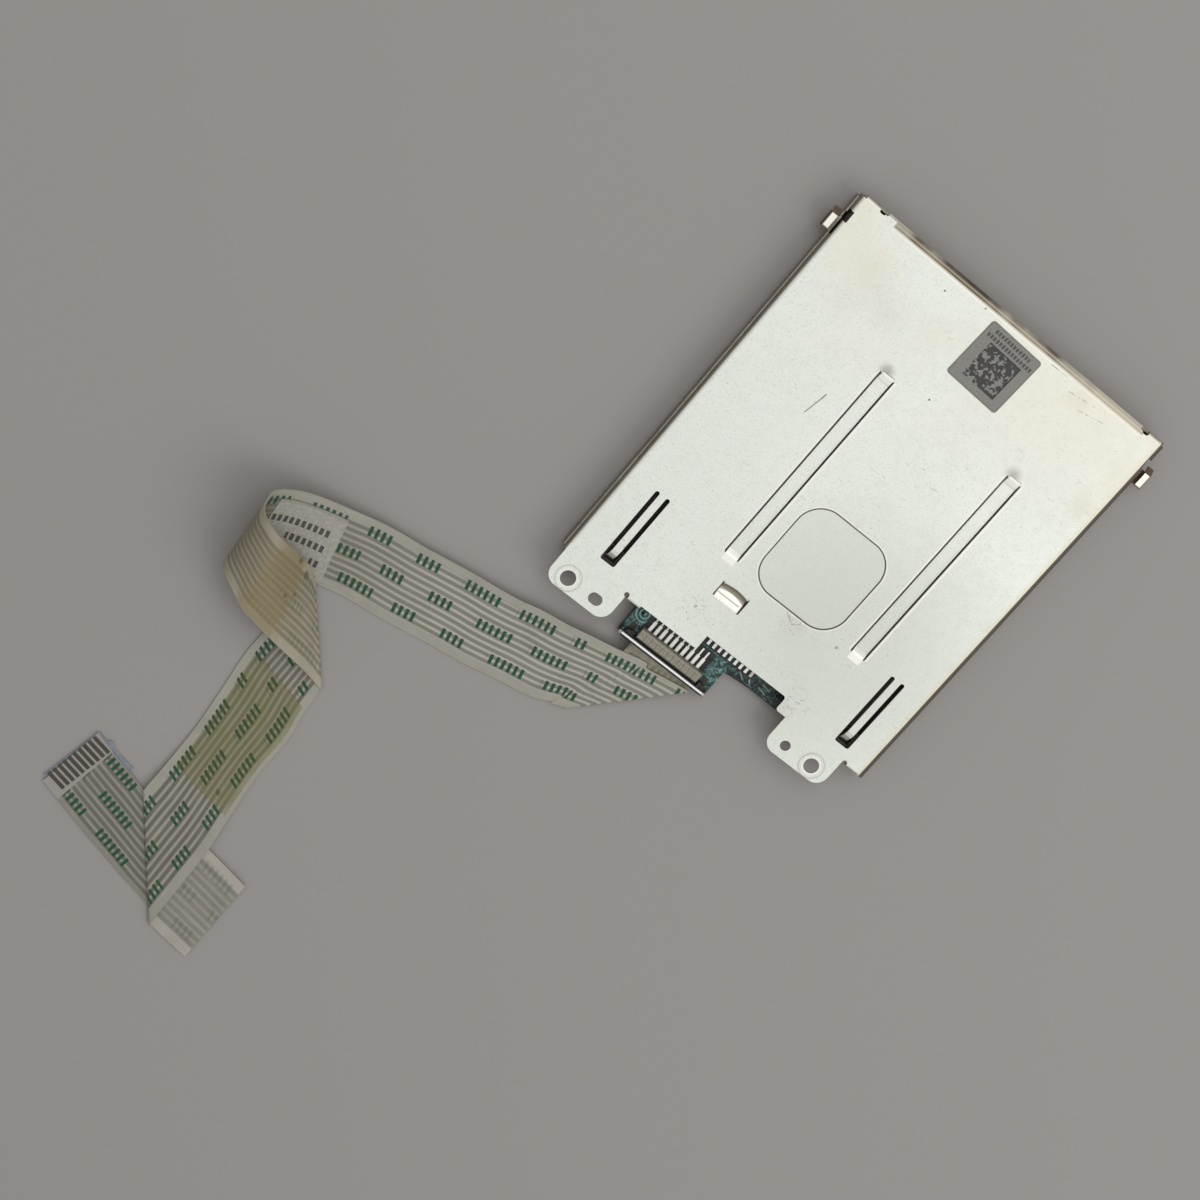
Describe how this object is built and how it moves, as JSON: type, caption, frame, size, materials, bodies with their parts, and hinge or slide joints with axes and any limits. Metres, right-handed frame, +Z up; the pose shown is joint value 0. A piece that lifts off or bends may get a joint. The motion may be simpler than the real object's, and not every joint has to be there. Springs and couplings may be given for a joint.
{
  "type": "smart card reader module",
  "caption": "Low card reader: pressed steel cover over a shell and slot carrier, screw ears at the rear, a small board tail with a slide-lock connector and a folded flat ribbon cable.",
  "frame": {"origin": "middle of the reader's underside, halfway between its side lugs and halfway from the slot edge to the rear of the cable connector's slider; the cable is left out", "axes": "+X to the right when looking into the slot from above with the slot ahead, +Y out of the card slot, +Z up from the table through the cover"},
  "size_m": [0.0953, 0.1528, 0.0111],
  "materials": {
    "cover_steel": "satin nickel-plated sheet with light tarnish",
    "shell_steel": "plated sheet, dull",
    "carrier_plastic": "moulded, matt",
    "board_teal": "solder mask over copper",
    "contact_gold": "gold-plated spring alloy",
    "connector_beige": "heat-resistant moulding",
    "terminal_tin": "tin-plated",
    "slider_dark": "smooth moulding",
    "chip_black": "epoxy",
    "crystal_can": "plated can",
    "capacitor_tan": "fired ceramic",
    "resistor_black": "glazed",
    "label_grey": "matt film label",
    "cable_film": "laminated film, translucent look",
    "stiffener_olive": "film",
    "stiffener_blue": "film",
    "strip_dark": "bare flat conductors, dull",
    "label_white": "matt label",
    "tape_olive": "aged adhesive film"
  },
  "bodies": {
    "reader": {"top_cover": "cover_steel", "bottom_shell": "shell_steel", "card_carrier": "carrier_plastic", "circuit_board": "board_teal", "contact_1": "contact_gold", "contact_2": "contact_gold", "contact_3": "contact_gold", "contact_4": "contact_gold", "contact_5": "contact_gold", "contact_6": "contact_gold", "contact_7": "contact_gold", "contact_8": "contact_gold", "switch_contact": "contact_gold", "connector_housing": "connector_beige", "connector_terminals": "terminal_tin", "connector_tabs": "terminal_tin", "controller_chip": "chip_black", "chip_leads": "terminal_tin", "crystal": "crystal_can", "capacitor_left": "capacitor_tan", "capacitor_right": "capacitor_tan", "resistor_left": "resistor_black", "resistor_right": "resistor_black", "cover_label": "label_grey", "flat_cable": "cable_film", "near_stiffener": "stiffener_olive", "far_stiffener": "stiffener_blue", "far_strips": "strip_dark", "cable_label": "label_white", "tape_patch": "tape_olive"},
    "slider": {"connector_slider": "slider_dark"},
    "switch": {"switch_blade": "contact_gold"}
  },
  "joints": [
    {"name": "slider_open", "type": "slide", "parent": "reader", "child": "slider", "axis": [0, -1, 0], "range_m": [0, 0.001]},
    {"name": "switch_flex", "type": "hinge", "parent": "reader", "child": "switch", "pos_m": [0.0185, -0.02555, 0.0031], "axis": [0, 0, 1], "range_deg": [0, 3.7], "stiffness_Nm_per_rad": 0.01}
  ]
}
